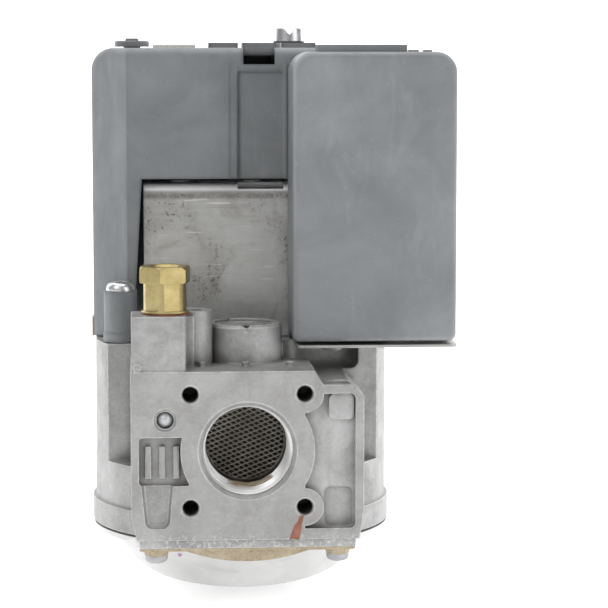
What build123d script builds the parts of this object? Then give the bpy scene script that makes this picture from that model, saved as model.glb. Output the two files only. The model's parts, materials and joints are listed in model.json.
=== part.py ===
from build123d import *
import math
import os

# A combination gas valve for a furnace, in millimetres.
# Origin: centre of the inlet bolt pattern on the inlet flange face.
# +X right, +Y from inlet to outlet, +Z up.

# ---------------------------------------------------------------- driving dimensions
# valve body
body_length = 101.6          # inlet face to outlet face
flange_half_width = 32.4
flange_top = 22.3
flange_bottom = -25.0
barrel_radius = 43.0
barrel_top = -9.0            # ledge where the round barrel becomes the upper block
rim_step = 0.9               # bottom ring of the barrel beyond the barrel
rim_top = -20.5
joint_z = -27.4              # plane where the bottom cover closes the body
shoulder_front = 21.0        # where the flange top has dropped to the tap's shoulder
deck_z = 26.2                # top of the upper block
facet_setback = 17.8         # barrel axis to the upper block's front face
block_chamfer = 2.6          # corner of the upper block
block_inset = 0.3            # upper block inside the barrel
scoop_width = 22.0           # cast hollow beside the staked boss
scoop_depth = 7.5
scoop_corner = 5.0

# ports and bolts, 3/4 in pipe thread
port_radius = 12.65
thread_depth = 17.6
port_depth = 20.0            # step that the strainer rests on
screen_seat_radius = port_radius - 0.45
screen_thickness = 0.6
screen_ring_thickness = 0.9
screen_opening = screen_seat_radius - 0.85
port_chamfer = 1.15
gallery_radius = port_radius - 1.85
bolt_half_spacing = 15.9
bolt_radius = 2.2
outlet_bolt_radius = 2.4
bolt_depth = 15.0
bolt_chamfer = 0.45
port_boss_radius = port_radius + 6.05
bolt_boss_radius = 5.3

# cast pockets in the flange faces
pocket_depth = 2.2
number_pocket_depth = 2.6
lower_pocket_depth = 3.6
lower_left_depth = 1.7
pocket_right = 30.0
pocket_top = 15.9
pocket_bottom = -22.0
right_pad_left = 22.7
right_pad_bottom = 8.6
right_pad_recess = 0.9
lower_pocket_left = 21.4
lower_pocket_top = -10.6
number_left = -30.2
number_top = 4.0
number_bottom = -9.6
number_bar = 1.5
number_bar_pitch = 3.9
number_bar_recess = 1.2

# chambers inside the body
chamber_radius = 35.0        # round the diaphragm
chamber_roof = -15.0
seat_web = 4.0
seat_radius = 9.0
seat_lip = 1.0
valve_chamber_radius = 17.0
web_bottom = 5.0             # web between the main chamber and the first valve's chamber
web_top = 8.0
duct_top = 18.0

# bottom cover and plates
rim_thickness = 0.7          # diaphragm rim between body and cover
rim_inset = 0.15             # diaphragm rim inside the body's ring
dish_wall = 1.8
dish_nub_radius = 4.7
dish_bottom = -47.9
plate_thickness = 0.8
plate_half_width = 30.2
plate_screw_x = 25.5
plate_screw_y = 6.3
plate_setback = 0.8
plate_margin = 4.0           # plate behind its screws' centre line
lip_half_width = 17.5
lip_drop = 3.2               # bowed lip below the plate
lip_front = 1.6
lip_back = 6.2
dimple_radius = 3.7
dimple_drop = 1.9
plate_head_radius = 3.2
plate_head_height = 2.2
dish_screw_radius = 38.6
lug_thickness = 3.0
lug_radius = 4.4
lug_head_radius = 3.4
lug_head_height = 2.0
tapped_depth = 7.0
screw_reach = 6.0            # of a bottom screw into the body

# main valve
main_travel = 4.0
disc_radius = 12.0
disc_thickness = 1.6
seal_thickness = 2.0
stem_radius = 2.5
stem_drop = 0.4              # stem head proud of the disc
diaphragm_thickness = 0.8
diaphragm_slack = 2.6        # drop left when the valve is fully open
diaphragm_plate_radius = 24.0
diaphragm_plate_thickness = 1.6
main_spring_radius = 7.5
main_spring_wire = 0.9

# solenoids and their frame
frame_left = -28.4
frame_right = 14.6
frame_top = 71.7
frame_depth = 22.0
frame_sheet = 1.6
frame_bend = 3.0
frame_setback = 3.6          # cover panel to frame
first_solenoid_x = -17.6
second_solenoid_x = 3.8
base_plate_thickness = 1.6
deck_gasket_thickness = 0.6
coil_radius = 9.0
coil_gap = 0.5               # bobbin flange to the frame or the base plate
bobbin_flange = 1.2
bobbin_wall = 0.9
plunger_radius = 3.8
plunger_length = 21.0
plunger_clearance = 0.25
pole_length = 15.0
first_travel = 3.0
second_travel = 1.5
first_seat_radius = 5.5
first_disc_radius = 7.6
first_disc_thickness = 2.5
servo_disc_radius = 2.6
servo_disc_thickness = 1.6
coil_spring_radius = plunger_radius - 0.8
coil_spring_wire = 0.5

# regulator
regulator_x = 16.2
regulator_setback = 35.5     # cover panel to the regulator's axis
regulator_radius = 8.0
regulator_wall = 2.0
regulator_roof = 2.0          # over the spring chamber
collar_radius = 5.4
collar_rise = 1.5            # collar above the cover
regulator_bore = 3.2
screw_clearance = 0.06
cap_radius = 4.7
cap_height = 4.6
cap_stub = 5.0
cap_seal_thickness = 0.5
adjust_travel = 2.0
adjust_screw_length = 7.0
regulator_spring_radius = 4.6
regulator_spring_wire = 0.7
regulator_spring_length = 24.0
follower_thickness = 1.5

# pilot outlet
fitting_x = -22.6
fitting_y = 9.0
fitting_radius = 6.1
fitting_hex = 15.0           # across corners
fitting_turn = -10.8         # as tightened
fitting_hex_bottom = 46.4
fitting_top = 51.0
tube_radius = 3.25
tube_depth = 9.0
pilot_block_left = -32.1
pilot_block_right = -17.0
pilot_block_top = 37.6
pilot_block_depth = 15.5
adjust_x = -14.6
adjust_y = 19.0
adjust_boss_radius = 5.4
pilot_screw_radius = 2.6
pilot_screw_length = 5.0
pilot_needle_radius = 1.2
pilot_needle_length = 6.0
pilot_travel = 1.5
pilot_screw_recess = 1.0
pilot_seat_length = 0.7      # of the needle in its seat

# staked boss
staked_y = 26.0
staked_radius = 10.9
staked_top = 33.2
staked_recess_radius = 8.6
staked_recess_depth = 1.6

# ball plug of a cross drilling in the flange face
ball_x = -22.9
ball_z = 8.8
ball_radius = 2.4

# pressure taps
tap_x = 26.3
tap_y = 6.4
tap_radius = 3.6
tap_shoulder = 18.4
tap_key = 2.4
tap_depth = 9.0
tap_plug_length = 7.4
tap_plug_sink = 1.5

# main cover
cover_left = -43.4
cover_right = 43.4
cover_setback = 9.0          # upper block's front face to the cover's panel
cover_depth = 46.0
cover_top = 111.3
cover_gap = 0.3              # deck to the cover's bottom edge
cover_wall = 2.2
cover_bevel = 10.2
cover_corner = 6.5           # top left edge
cover_edge = 3.0             # other top edges
window_side = 0.5            # window beyond the frame on the left
window_head = 1.6            # window above the frame
channel_left = -0.75
channel_right = 12.4
channel_depth = 0.9
notch_left = 0.8
notch_right = 10.0
notch_drop = 4.8             # cover's top to the notch's bottom
notch_depth = 7.0
ridge_height = 1.5           # raised pads behind the notch
ridge_width = 9.0
ridge_spans = ((-9.0, -0.4), (0.9, 10.9), (12.4, 22.4))
channel_rib_width = 0.7
ear_x = -35.3
ear_radius = 4.8
ear_height = 14.7
ear_band = 2.6
cover_screw_radius = 4.15
cover_screw_height = 2.6
rear_ear_x = -14.0
clip_width = 3.8             # half of the notch for the ground clip
clip_sheet = 0.5
clip_height = 5.6
clip_foot = 4.6
clip_hook = 2.0

# electronics module
module_left = 13.7
module_right = 60.5
module_depth = 23.6
module_gap = 0.3
module_lift = 1.8            # deck to the module
module_drop = 1.1            # cover's top to the module's top
module_lap = 0.3             # module over the window's edge
module_wall = 2.0
module_corner = 6.0
board_thickness = 1.6
board_margin = 2.5
bracket_sheet = 0.8
bracket_left = 15.0
bracket_right = 60.9
bracket_reach = 20.0         # onto the deck
bracket_screw_radius = 1.3
bracket_screw_left = 22.0
bracket_front_gap = 1.0
lobe_x = 25.2
lobe_setback = 6.0           # module front to the lobe
relay_left = 19.5
relay_width = 13.0
relay_height = 16.0
relay_depth = 12.0
relay_bottoms = (56.0, 76.0)
capacitor_depth = 11.0
capacitor_places = ((38.0, 42.0, 4.0), (48.0, 42.0, 4.0), (52.0, 56.0, 3.0))
chip_left = 38.0
chip_bottom = 70.0
chip_side = 12.0
chip_height = 2.0

# on/off knob
knob_x = -31.5
knob_setback = 18.0          # cover panel to the knob's axis
knob_radius = 5.1
knob_gap = 0.3
knob_height = 1.8
knob_grip = 0.7
knob_grip_half_width = 1.9
knob_shaft_radius = 2.5
knob_shaft_length = 14.0
switch_half = 5.8
switch_depth = 15.0
switch_height = 13.0
switch_floor = 1.2
tab_length = 6.0
tab_offset = 4.0

# connectors
control_left = -25.3
control_right = -12.9
control_setback = 13.0
control_width = 9.0
connector_height = 13.0
connector_proud = 0.9
connector_wall = 1.1
connector_gap = 0.15
harness_left = 21.0
harness_right = 46.4
harness_width = 8.6
harness_proud = 2.0
module_nubs = ((47.2, 50.0), (51.4, 53.8))
nub_height = 0.5
keyway = 0.6                 # depth of the notches in the front rim
control_notches = 4
notch_width = 0.9
harness_seam = 27.9
seam_width = 0.5
pin_half = 0.32
pin_depth = 5.5              # pin tips below the socket's mouth

# screws
screw_shank = 1.9
running = 0.05               # radial clearance of turning parts
thread_gap = 0.03            # radial gap between a screw and its tapped hole
shank_gap = 0.2              # radial gap where a screw passes through

# nubs left by the ejector pins on the flange ledge
nub_x = 12.4
nub_radius = 1.1
nub_rise = 1.3

# ---------------------------------------------------------------- derived places
rim_radius = barrel_radius + rim_step
cover_bottom = deck_z + cover_gap
collar_top = cover_top + collar_rise
notch_bottom = cover_top - notch_drop
ear_top = cover_bottom + ear_height
module_bottom = deck_z + module_lift
module_top = cover_top - module_drop
window_left = frame_left - window_side
window_right = module_left + module_lap
window_top = frame_top + window_head
barrel_y = body_length / 2
facet_y = barrel_y - facet_setback
back_facet_y = barrel_y + facet_setback
plate_depth = plate_screw_y * 2 + plate_margin
cover_front = facet_y + cover_setback
cover_back = cover_front + cover_depth
frame_front = cover_front + frame_setback
frame_back = frame_front + frame_depth
solenoid_y = (frame_front + frame_back) / 2
regulator_y = cover_front + regulator_setback
module_back = cover_front - module_gap
module_front = module_back - module_depth
knob_y = cover_front + knob_setback
control_y = cover_front + control_setback
ear_y = facet_y + ear_radius
clip_y = cover_front + cover_bevel + clip_width + 0.6
rear_ear_y = cover_back + ear_radius - 0.4
seat_z = chamber_roof + seat_web + seat_lip
pilot_screw_top = pilot_block_top - pilot_screw_recess
pilot_screw_bottom = pilot_screw_top - pilot_screw_length
gasket_top = deck_z + deck_gasket_thickness
base_plate_top = gasket_top + base_plate_thickness
bobbin_bottom = base_plate_top + coil_gap
bobbin_top = frame_top - frame_sheet - coil_gap
harness_y = module_front + module_wall + harness_width / 2 + 2.0
board_y = module_back - module_wall - 3.2


# ---------------------------------------------------------------- helpers
def block(x0, x1, y0, y1, z0, z1):
    """A box between two corners."""
    return Pos((x0 + x1) / 2, (y0 + y1) / 2, (z0 + z1) / 2) * Box(x1 - x0, y1 - y0, z1 - z0)


def post(x, y, z0, z1, radius):
    """An upright cylinder."""
    return Pos(x, y, (z0 + z1) / 2) * Cylinder(radius, z1 - z0)


def cone(x, y, z0, z1, bottom_radius, top_radius):
    """An upright cone."""
    return Pos(x, y, (z0 + z1) / 2) * Cone(bottom_radius, top_radius, z1 - z0)


def rod(x, z, y0, y1, radius):
    """A cylinder along Y."""
    return Pos(x, (y0 + y1) / 2, z) * Rot(90, 0, 0) * Cylinder(radius, y1 - y0)


def rod_cone(x, z, y0, y1, start_radius, end_radius):
    """A cone along Y, from start_radius at y0 to end_radius at y1."""
    return Pos(x, (y0 + y1) / 2, z) * Rot(-90, 0, 0) * Cone(start_radius, end_radius, y1 - y0)


def turned(x, y, outline):
    """A solid turned about an upright axis from (radius, height) points."""
    face = Plane.XZ * Polygon(*outline, align=None)
    return Pos(x, y, 0) * revolve(face, Axis.Z)


def slab(outline, y0, y1):
    """An (x, z) outline pushed from y0 to y1."""
    face = Plane.XZ * Polygon(*outline, align=None)
    return Pos(0, y0, 0) * extrude(face, y1 - y0, dir=(0, 1, 0))


def plan(outline, z0, z1):
    """An (x, y) outline raised from z0 to z1."""
    return Pos(0, 0, z0) * extrude(Polygon(*outline, align=None), z1 - z0, dir=(0, 0, 1))


def coil_spring(x, y, z0, z1, radius, wire, turns):
    """A helical spring with its wire's centre line from z0 to z1."""
    pitch = (z1 - z0) / turns
    path = Helix(pitch, z1 - z0, radius)
    start = Plane(origin=path @ 0, z_dir=path % 0)
    return Pos(x, y, z0) * sweep(start * Circle(wire), path, is_frenet=True)


def pan_screw(x, y, seat, radius, height, shank_radius, shank_length):
    """A round-head screw with a cross-slot, head up, seated at height seat."""
    head = post(x, y, seat, seat + height, radius)
    head = fillet(head.edges().group_by(Axis.Z)[-1], height * 0.8)
    slot = block(x - radius * 0.55, x + radius * 0.55, y - 0.4, y + 0.4, seat + height * 0.45,
                 seat + height + 1)
    cross = block(x - 0.4, x + 0.4, y - radius * 0.55, y + radius * 0.55, seat + height * 0.45,
                  seat + height + 1)
    return head + post(x, y, seat - shank_length, seat, shank_radius) - slot - cross


def hex_prism(x, y, z0, z1, corners, turn=0):
    """An upright hexagonal prism, corners across, a corner towards -Y when turn is 0."""
    face = Rot(0, 0, 30 + turn) * RegularPolygon(corners / 2, 6)
    return Pos(x, y, z0) * extrude(face, z1 - z0)


def mirror_ends(shape):
    """The same shape on the outlet half."""
    return Pos(0, body_length, 0) * mirror(shape, Plane.XZ)


# ---------------------------------------------------------------- valve body
def flange_outline():
    """Front outline of the inlet end, from the top left corner clockwise."""
    w = flange_half_width
    return [
        (-w, flange_top), (shoulder_front - 2.5, flange_top), (shoulder_front, tap_shoulder),
        (w - 3.6, tap_shoulder), (w, tap_shoulder - 3.2), (w, -17.0), (w - 1.2, flange_bottom),
        (-w + 1.4, flange_bottom), (-w, -18.0),
    ]


def face_pockets():
    """Cast pockets in the flange face, cut outside the port and bolt bosses."""
    keep = rod(0, 0, -1, 2 * lower_pocket_depth, port_boss_radius)
    for sx in (-1, 1):
        for sz in (-1, 1):
            keep += rod(sx * bolt_half_spacing, sz * bolt_half_spacing, -1, 2 * lower_pocket_depth,
                        bolt_boss_radius)
    edge = pocket_right
    right = block(bolt_half_spacing, edge, -0.5, pocket_depth, pocket_bottom, pocket_top)
    right = fillet(right.edges().filter_by(Axis.Y).group_by(Axis.X)[-1], 1.6)
    pad = block(right_pad_left, edge - 0.4, right_pad_recess, pocket_depth + 1, right_pad_bottom,
                pocket_top - 0.2)
    pad = fillet(pad.edges().filter_by(Axis.Y), 1.4)
    right_deep = block(lower_pocket_left, edge - 0.6, -0.5, lower_pocket_depth, pocket_bottom + 0.2,
                       lower_pocket_top)
    right_deep = fillet(right_deep.edges().filter_by(Axis.Y), 1.8)
    number = block(number_left, -bolt_half_spacing, -0.5, number_pocket_depth, number_bottom, number_top)
    number = fillet(number.edges().filter_by(Axis.Y), 1.2)
    for i in range(3):
        x = number_left + 1.8 + number_bar_pitch * i
        number -= block(x, x + number_bar, number_bar_recess, number_pocket_depth + 1, number_bottom + 2,
                        number_top - 2.6)
    left = slab([
        (number_left + 0.6, number_bottom + 0.5), (-lower_pocket_left + 0.6, number_bottom + 0.5),
        (-lower_pocket_left - 0.4, pocket_bottom + 0.4), (number_left + 1.8, pocket_bottom + 0.4),
    ], -0.5, lower_left_depth)
    left = fillet(left.edges().filter_by(Axis.Y).group_by(Axis.Z)[0], 2.2)
    left = chamfer(left.faces().sort_by(Axis.Y)[-1].edges().group_by(Axis.Z)[0], 0.8)
    return ((right - pad) + right_deep + number + left) - keep


def end_cuts(hole_radius, seat):
    """Port, bolt holes and pockets of one end; seat is the bore past the thread."""
    cuts = rod(0, 0, -1, thread_depth, port_radius) + rod(0, 0, thread_depth - 1, port_depth, seat)
    cuts += rod_cone(0, 0, -0.01, port_chamfer, port_radius + port_chamfer, port_radius)
    for sx in (-1, 1):
        for sz in (-1, 1):
            x = sx * bolt_half_spacing
            z = sz * bolt_half_spacing
            cuts += rod(x, z, -1, bolt_depth, hole_radius)
            cuts += rod_cone(x, z, -0.01, bolt_chamfer, hole_radius + bolt_chamfer, hole_radius)
    cuts += post(tap_x, tap_y, tap_shoulder - tap_depth, tap_shoulder + 1, tap_radius + thread_gap)
    cuts += face_pockets()
    return cuts


def end_block():
    """The squarish end that carries a port."""
    solid = slab(flange_outline(), 0, facet_y + 2)
    pad = block(-plate_half_width, plate_half_width, plate_setback, plate_depth, joint_z, flange_bottom)
    return solid + pad


def upper_block():
    """The block above the barrel, its front and back faces flat and its corners cut."""
    w = barrel_radius - block_inset
    c = block_chamfer
    outline = [
        (-w + c, facet_y), (w - c, facet_y), (w, facet_y + 2 * c), (w, back_facet_y - 2 * c),
        (w - c, back_facet_y), (-w + c, back_facet_y), (-w, back_facet_y - 2 * c), (-w, facet_y + 2 * c),
    ]
    return plan(outline, barrel_top, deck_z) & post(0, barrel_y, barrel_top - 1, deck_z + 1, barrel_radius)


def staked_boss():
    """Round boss on the flange ledge, with its recess and three staking notches."""
    boss = post(0, staked_y, flange_top - 1, staked_top, staked_radius)
    boss = chamfer(boss.edges().group_by(Axis.Z)[-1], 0.7)
    boss -= post(0, staked_y, staked_top - staked_recess_depth, staked_top + 1, staked_recess_radius)
    for angle in (-88, 118, 18):
        a = math.radians(angle)
        r = staked_radius - 1.2
        boss -= post(r * math.cos(a), staked_y + r * math.sin(a), staked_top - 2.0, staked_top + 1, 1.1)
    return boss


def pilot_boss():
    """Squared block for the pilot fitting, and the round boss of the pilot adjusting screw."""
    front = plate_setback - 0.3
    solid = block(pilot_block_left, pilot_block_right, front, pilot_block_depth, flange_top - 1,
                  pilot_block_top)
    solid = fillet(solid.edges().filter_by(Axis.Z), 0.8)
    solid += post(adjust_x, adjust_y, flange_top - 1, pilot_block_top, adjust_boss_radius)
    solid += block(fitting_x - 4, adjust_x, pilot_block_depth - 4, adjust_y + adjust_boss_radius - 1,
                   flange_top - 1, pilot_block_top - 1.2)
    solid += rod(pilot_block_left + 1.6, flange_top + 1.0, front - 0.3, front + 1, 1.2)
    cuts = post(fitting_x, fitting_y, flange_top + 2, pilot_block_top + 1, fitting_radius - 1.0)
    seat = pilot_screw_bottom - pilot_needle_length + pilot_seat_length
    cuts += post(adjust_x, adjust_y, seat, pilot_block_top + 1, pilot_screw_radius + running)
    cuts += post(adjust_x, adjust_y, seat - pilot_travel - 1, seat, pilot_needle_radius + running)
    return solid - cuts


def valve_body():
    """Die-cast body with its gas ways."""
    body = post(0, barrel_y, joint_z, barrel_top + 1, barrel_radius)
    body += post(0, barrel_y, joint_z, rim_top, rim_radius)
    body += upper_block()
    body += end_block() + mirror_ends(end_block())
    body += staked_boss() + pilot_boss()
    for x in (-nub_x, 0, nub_x):
        body += post(x, staked_y - staked_radius - 3.4, flange_top - 0.5, flange_top + nub_rise, nub_radius)
    body += post(rear_ear_x, rear_ear_y, flange_top - 1, cover_bottom, ear_radius)
    body -= end_cuts(bolt_radius, screen_seat_radius) + mirror_ends(end_cuts(outlet_bolt_radius, port_radius))
    # diaphragm chamber, main seat and the chamber above it
    body -= post(0, barrel_y, joint_z - 1, chamber_roof, chamber_radius)
    body -= post(0, barrel_y, chamber_roof - 1, web_bottom, seat_radius)
    above = post(0, barrel_y, chamber_roof + seat_web, web_bottom, valve_chamber_radius)
    above += post(first_solenoid_x, solenoid_y, chamber_roof + seat_web, web_bottom, first_disc_radius)
    lip = post(0, barrel_y, chamber_roof + seat_web, seat_z, seat_radius + 1.5)
    body -= above - lip
    # first valve: its chamber, its seat and the duct from the inlet
    chamber = post(first_solenoid_x, solenoid_y, web_top, deck_z + 1, first_disc_radius + 2)
    duct = block(first_solenoid_x - 8, first_solenoid_x + 8, port_depth + 1, solenoid_y, web_top, duct_top)
    inlet = rod(0, 0, port_depth - 1, port_depth + 9, gallery_radius)
    riser = block(first_solenoid_x - 3, -2, port_depth + 1, port_depth + 9, -6, duct_top)
    body -= chamber + duct + inlet + riser
    body -= post(first_solenoid_x, solenoid_y, web_bottom - 1, web_top + 1, first_seat_radius)
    # outlet way from the diaphragm chamber
    outlet_start = body_length - port_depth
    body -= block(-9, 9, outlet_start - 9, outlet_start, chamber_roof - 5, 8)
    # tapped holes for the screws
    hole = screw_shank + thread_gap
    for x, y in bottom_screw_places():
        body -= post(x, y, joint_z - 1, joint_z + tapped_depth, hole)
    for x, y in plate_screw_places():
        body -= post(x, y, joint_z - 1, joint_z + tapped_depth, hole)
    body -= post(ear_x, ear_y, deck_z - 8, deck_z + 1, hole)
    body -= post(rear_ear_x, rear_ear_y, flange_top - 6, cover_bottom + 1, hole)
    for x, y in bracket_screw_places():
        body -= post(x, y, deck_z - 5, deck_z + 1, bracket_screw_radius + thread_gap)
    body -= rod(ball_x, ball_z, -1, 0.7, ball_radius + 0.8)
    body -= rod(ball_x, ball_z, -1, 2 * ball_radius + 1, ball_radius)
    # scoop in the upper block beside the staked boss, under the module's bracket
    scoop_left = staked_radius + 0.8
    scoop = block(scoop_left, scoop_left + scoop_width, facet_y - 6, facet_y + scoop_depth, tap_shoulder,
                  deck_z + 1)
    scoop = fillet(scoop.edges().filter_by(Axis.Z), scoop_corner)
    return body - fillet(scoop.faces().sort_by(Axis.Z)[0].edges(), 2.5)


def ball_plug():
    """Steel ball pressed into the flange face."""
    return Pos(ball_x, ball_radius + 0.6, ball_z) * Sphere(ball_radius - 0.01)


def boss_plug():
    """Cup plug staked into the round boss."""
    floor = staked_top - staked_recess_depth
    plug = post(0, staked_y, floor, floor + 0.9, staked_recess_radius)
    return plug - post(0, staked_y, floor + 0.45, floor + 2, staked_recess_radius - 1.6)


def tap_plug():
    """Pressure-tap plug with a hexagon socket."""
    top = tap_shoulder - tap_plug_sink
    plug = post(tap_x, tap_y, top - tap_plug_length, top, tap_radius)
    plug = chamfer(plug.edges().group_by(Axis.Z)[-1], 0.4)
    return plug - hex_prism(tap_x, tap_y, top - 3.4, top + 1, tap_key * 2)


# ---------------------------------------------------------------- strainer
def inlet_screen():
    """Mesh disc across the inlet, pressed against the step of the port."""
    return rod(0, 0, port_depth - screen_thickness, port_depth, screen_seat_radius - 0.15)


def screen_ring():
    """Spring ring that holds the mesh."""
    back = port_depth - screen_thickness
    ring = rod(0, 0, back - screen_ring_thickness, back, screen_seat_radius - 0.02)
    return ring - rod(0, 0, thread_depth, port_depth, screen_opening)


# ---------------------------------------------------------------- bottom cover and plates
def hanging_screw(x, y, seat, radius, height):
    """A slotted screw driven up into the body, its rounded head below height seat."""
    head = post(x, y, seat - height, seat, radius)
    head = fillet(head.edges().group_by(Axis.Z)[0], height * 0.65)
    reach = radius * 0.65
    head -= block(x - reach, x + reach, y - 0.4, y + 0.4, seat - height - 1, seat - height * 0.55)
    return head + post(x, y, seat, joint_z + screw_reach, screw_shank)


def bottom_screw_places():
    reach = dish_screw_radius * math.sqrt(0.5)
    return [(sx * reach, barrel_y + sy * reach) for sx in (-1, 1) for sy in (-1, 1)]


def inlet_plate_screws():
    return [(sx * plate_screw_x, plate_screw_y) for sx in (-1, 1)]


def plate_screw_places():
    return inlet_plate_screws() + [(x, body_length - y) for x, y in inlet_plate_screws()]


def dish(mouth_radius, top, inset):
    """Bowl below the rim: a steep shoulder running into a shallow floor."""
    r = rim_radius - 0.4
    floor = dish_bottom + 0.9 + inset
    rim = mouth_radius if inset else r
    lip = top - 1.4
    shoulder = [
        (rim, lip), (r * 0.82 - inset, top - 6.6), (r * 0.68 - inset * 0.6, top - 13.2 + inset * 0.8),
        (r * 0.42, floor + 1.2), (r * 0.12, floor),
    ]
    edges = [
        Line((0, top), (rim, top)), Line((rim, top), (rim, lip)), Spline(*shoulder,
                                                                         tangents=((-1, -0.6), (-1, 0))),
        Line((r * 0.12, floor), (0, floor)), Line((0, floor), (0, top)),
    ]
    return Pos(0, barrel_y, 0) * revolve(Plane.XZ * make_face(edges), Axis.Z)


def bottom_cover():
    """Dished cover under the diaphragm, with screw lugs."""
    top = joint_z - rim_thickness
    r = rim_radius - 0.4
    cover = dish(r, top, 0) + post(0, barrel_y, dish_bottom, dish_bottom + 2, dish_nub_radius)
    within = post(0, barrel_y, top - 2 * lug_thickness, top + 1, r)
    for x, y in bottom_screw_places():
        cover += post(x, y, top - lug_thickness, top, lug_radius) & within
    cover -= dish(chamber_radius, top, dish_wall)
    cover -= post(0, barrel_y, top - 1, top + 1, chamber_radius)
    for x, y in bottom_screw_places():
        cover -= post(x, y, top - lug_thickness - 1, top + 1, screw_shank + shank_gap)
        cover -= post(x, y, dish_bottom, top - lug_thickness, lug_head_radius + 0.5)
    return cover


def bottom_cover_screws():
    """Screws that hold the bottom cover, heads down."""
    seat = joint_z - rim_thickness - lug_thickness
    places = bottom_screw_places()
    return [hanging_screw(x, y, seat, lug_head_radius, lug_head_height) for x, y in places]


def end_bottom_plate():
    """Plate under the inlet end, cut round the bottom cover, with a bowed lip and two dimples."""
    low = joint_z - plate_thickness
    plate = block(-plate_half_width, plate_half_width, plate_setback, plate_depth, low, joint_z)
    plate = fillet(plate.edges().filter_by(Axis.Z), 1.5)
    bow_radius = (lip_half_width ** 2 + lip_drop ** 2) / (2 * lip_drop)
    bow = rod(0, low - lip_drop + bow_radius, lip_front, lip_back, bow_radius)
    plate += bow & block(-lip_half_width, lip_half_width, lip_front, lip_back, low - lip_drop - 1, low + 0.2)
    for x, y in inlet_plate_screws():
        plate += cone(x, y, low - dimple_drop, low, dimple_radius - 0.4, dimple_radius)
        plate -= post(x, y, low - dimple_drop - 1, joint_z + 1, screw_shank + shank_gap)
    return plate - post(0, barrel_y, joint_z - 10, joint_z + 1, rim_radius + 0.3)


def end_plate_screws():
    """The two screws of the plate, heads down."""
    seat = joint_z - plate_thickness - dimple_drop
    return [hanging_screw(x, y, seat, plate_head_radius, plate_head_height) for x, y in inlet_plate_screws()]


# ---------------------------------------------------------------- main valve
diaphragm_drop = main_travel + diaphragm_slack
plate_top_z = joint_z - diaphragm_drop


def main_diaphragm():
    """Rubber diaphragm, its rim clamped and its middle hanging lower."""
    rim = joint_z
    low = rim - diaphragm_drop
    t = diaphragm_thickness
    r = diaphragm_plate_radius + 1.0
    edge = chamber_radius - 1.5
    outer = rim_radius - rim_inset
    outline = [
        (stem_radius, low), (r, low), (edge, rim), (outer, rim), (outer, rim - rim_thickness),
        (edge, rim - rim_thickness), (r, low - t), (stem_radius, low - t),
    ]
    disc = turned(0, barrel_y, outline)
    for x, y in bottom_screw_places():
        disc -= post(x, y, rim - 3, rim + 1, screw_shank + 0.3)
    return disc


def diaphragm_plate():
    """Dished steel plate on top of the diaphragm."""
    z = plate_top_z
    t = diaphragm_plate_thickness
    r = diaphragm_plate_radius
    return turned(0, barrel_y, [(stem_radius, z), (r, z), (r, z + t), (stem_radius, z + t)])


def valve_stem():
    """Stem from the diaphragm plate up to the valve disc, with a clamped foot."""
    foot_top = plate_top_z - diaphragm_thickness
    top = seat_z + seal_thickness + disc_thickness
    stem = post(0, barrel_y, foot_top, top, stem_radius)
    stem += post(0, barrel_y, foot_top - 1.6, foot_top, stem_radius + 4)
    stem += post(0, barrel_y, top, top + stem_drop + 1, stem_radius + 1.2)
    return stem


def disc_seal():
    """Rubber ring that closes the main seat."""
    ring = post(0, barrel_y, seat_z, seat_z + seal_thickness, disc_radius - 0.6)
    return ring - post(0, barrel_y, seat_z - 1, seat_z + 10, stem_radius)


def main_valve_disc():
    """Metal disc behind the seal."""
    z = seat_z + seal_thickness
    disc = post(0, barrel_y, z, z + disc_thickness, disc_radius)
    return disc - post(0, barrel_y, z - 1, z + 10, stem_radius)


def main_spring():
    """Spring from the valve disc to the roof of its chamber."""
    z0 = seat_z + seal_thickness + disc_thickness + main_spring_wire
    return coil_spring(0, barrel_y, z0, web_bottom - main_spring_wire, main_spring_radius,
                       main_spring_wire, 3.5)


# ---------------------------------------------------------------- solenoids
def deck_gasket():
    """Gasket under the solenoid base plate."""
    sheet = block(frame_left, frame_right, frame_front, frame_back, deck_z, gasket_top)
    return sheet - post(first_solenoid_x, solenoid_y, deck_z - 1, gasket_top + 1, first_disc_radius + 2)


def solenoid_base_plate():
    """Steel plate that carries the solenoids and closes the first valve's chamber."""
    plate = block(frame_left, frame_right, frame_front, frame_back, gasket_top, base_plate_top)
    for x in (first_solenoid_x, second_solenoid_x):
        plate -= post(x, solenoid_y, gasket_top - 1, base_plate_top + 1, plunger_radius + plunger_clearance)
    return plate


def solenoid_frame():
    """Folded sheet-metal frame round both coils: front, top and back."""
    outer = block(frame_left, frame_right, frame_front, frame_back, base_plate_top, frame_top)
    outer = fillet(outer.edges().filter_by(Axis.X).group_by(Axis.Z)[-1], frame_bend)
    inner = block(frame_left - 1, frame_right + 1, frame_front + frame_sheet, frame_back - frame_sheet,
                  base_plate_top - 1, frame_top - frame_sheet)
    inner = fillet(inner.edges().filter_by(Axis.X).group_by(Axis.Z)[-1], frame_bend - frame_sheet)
    frame = outer - inner
    frame -= block(channel_left, frame_right - 1.9, frame_front - 1, frame_front + 6, frame_top - frame_sheet,
                   frame_top + 1)
    for x in (first_solenoid_x, second_solenoid_x):
        frame -= post(x, solenoid_y, frame_top - 5, frame_top + 1, plunger_radius - 1)
    return frame


def bobbin(x):
    """Plastic spool of one coil."""
    spool = post(x, solenoid_y, bobbin_bottom, bobbin_bottom + bobbin_flange, coil_radius)
    spool += post(x, solenoid_y, bobbin_top - bobbin_flange, bobbin_top, coil_radius)
    tube = plunger_radius + plunger_clearance + bobbin_wall
    spool += post(x, solenoid_y, bobbin_bottom, bobbin_top, tube)
    return spool - post(x, solenoid_y, bobbin_bottom - 1, bobbin_top + 1, plunger_radius + plunger_clearance)


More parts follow.
